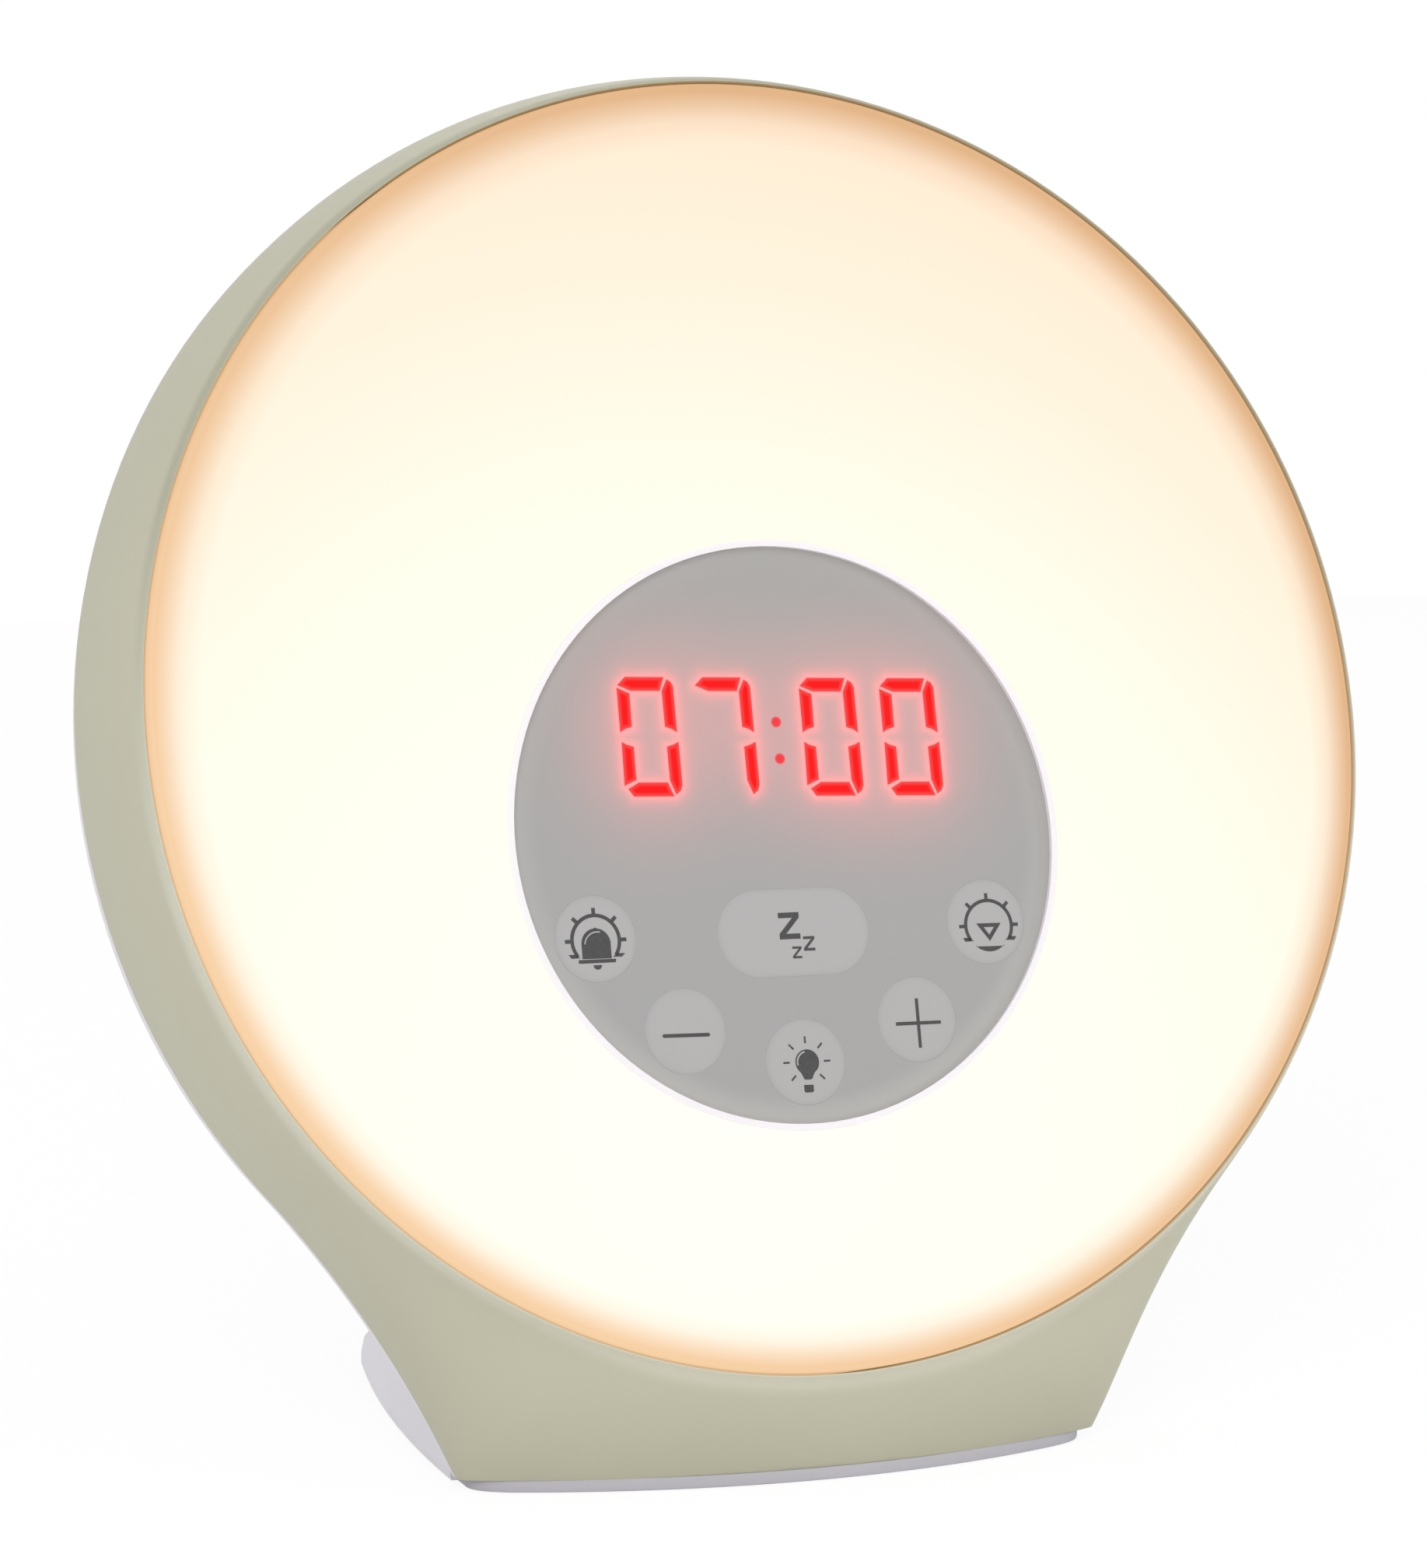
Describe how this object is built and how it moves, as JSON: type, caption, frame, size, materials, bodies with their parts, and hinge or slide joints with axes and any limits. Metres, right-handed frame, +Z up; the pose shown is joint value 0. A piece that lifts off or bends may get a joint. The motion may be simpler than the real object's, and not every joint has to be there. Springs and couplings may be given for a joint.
{
  "type": "sunrise alarm clock",
  "caption": "Round sunrise lamp clock on a flared foot: lit diffuser ring round a grey control disc with digital display and push keys.",
  "frame": {"origin": "middle of the object's box, on the surface it stands on", "axes": "+X to the right as seen from the front, +Y to the back, +Z up; the face looks along -Y and leans back 14.5 degrees"},
  "size_m": [0.171, 0.1048, 0.1746],
  "materials": {
    "sage_plastic": "fine satin moulding",
    "white_plastic": "fine satin moulding",
    "pad_rubber": "matt",
    "opal_diffuser": "opal satin",
    "grey_fascia": "satin",
    "grey_key": "satin",
    "red_segments": "lit lens",
    "reflector_plastic": "gloss white",
    "white_board": "white solder mask",
    "led_package": "phosphor lens",
    "circuit_board": "green solder mask",
    "black_plastic": "moulded",
    "black_foam": "foam",
    "pressed_steel": "plated",
    "cone_paper": "pressed paper",
    "magnet_ferrite": "ferrite",
    "inlet_steel": "plated shell",
    "spring_brass": "spring strip",
    "cable_vinyl": "vinyl",
    "screw_steel": "zinc plated"
  },
  "bodies": {
    "clock": {"battery_contacts": "spring_brass", "board_screws": "screw_steel", "case_screws": "screw_steel", "coin_cell": "pressed_steel", "control_board": "circuit_board", "control_fascia": "grey_fascia", "diffuser": "opal_diffuser", "display_segments": "red_segments", "foot_pad": "pad_rubber", "front_casing": "sage_plastic", "housing_screws": "screw_steel", "inlet_board": "circuit_board", "led_display": "black_plastic", "light_board": "white_board", "light_lead": "cable_vinyl", "light_leds": "led_package", "main_board": "circuit_board", "main_board_parts": "black_plastic", "main_board_screws": "screw_steel", "mid_frame": "white_plastic", "panel_housing": "white_plastic", "power_inlet": "inlet_steel", "rear_casing": "white_plastic", "reflector": "reflector_plastic", "ribbon_cable": "cable_vinyl", "speaker_cone": "cone_paper", "speaker_frame": "pressed_steel", "speaker_gasket": "black_foam", "speaker_grille": "white_plastic", "speaker_lead": "cable_vinyl", "speaker_magnet": "magnet_ferrite", "tact_switches": "black_plastic"},
    "sunrise_button": {"sunrise_key": "grey_key", "sunrise_plunger": "black_plastic"},
    "sunset_button": {"sunset_key": "grey_key", "sunset_plunger": "black_plastic"},
    "minus_button": {"minus_key": "grey_key", "minus_plunger": "black_plastic"},
    "plus_button": {"plus_key": "grey_key", "plus_plunger": "black_plastic"},
    "light_button": {"light_key": "grey_key", "light_plunger": "black_plastic"},
    "snooze_button": {"snooze_key": "grey_key", "snooze_plunger": "black_plastic"},
    "door": {"battery_door": "white_plastic"}
  },
  "joints": [
    {"name": "sunrise_press", "type": "slide", "parent": "clock", "child": "sunrise_button", "axis": [0, 0.9681, -0.2504], "range_m": [0, 0.0008], "stiffness_N_per_m": 600, "springref_m": -0.001},
    {"name": "sunset_press", "type": "slide", "parent": "clock", "child": "sunset_button", "axis": [0, 0.9681, -0.2504], "range_m": [0, 0.0008], "stiffness_N_per_m": 600, "springref_m": -0.001},
    {"name": "minus_press", "type": "slide", "parent": "clock", "child": "minus_button", "axis": [0, 0.9681, -0.2504], "range_m": [0, 0.0008], "stiffness_N_per_m": 600, "springref_m": -0.001},
    {"name": "plus_press", "type": "slide", "parent": "clock", "child": "plus_button", "axis": [0, 0.9681, -0.2504], "range_m": [0, 0.0008], "stiffness_N_per_m": 600, "springref_m": -0.001},
    {"name": "light_press", "type": "slide", "parent": "clock", "child": "light_button", "axis": [0, 0.9681, -0.2504], "range_m": [0, 0.0008], "stiffness_N_per_m": 600, "springref_m": -0.001},
    {"name": "snooze_press", "type": "slide", "parent": "clock", "child": "snooze_button", "axis": [0, 0.9681, -0.2504], "range_m": [0, 0.0008], "stiffness_N_per_m": 600, "springref_m": -0.001},
    {"name": "battery_door_hinge", "type": "hinge", "parent": "clock", "child": "door", "pos_m": [0.016, 0.01488, 0.04406], "axis": [-1, 0, 0], "range_deg": [0, 70]}
  ]
}
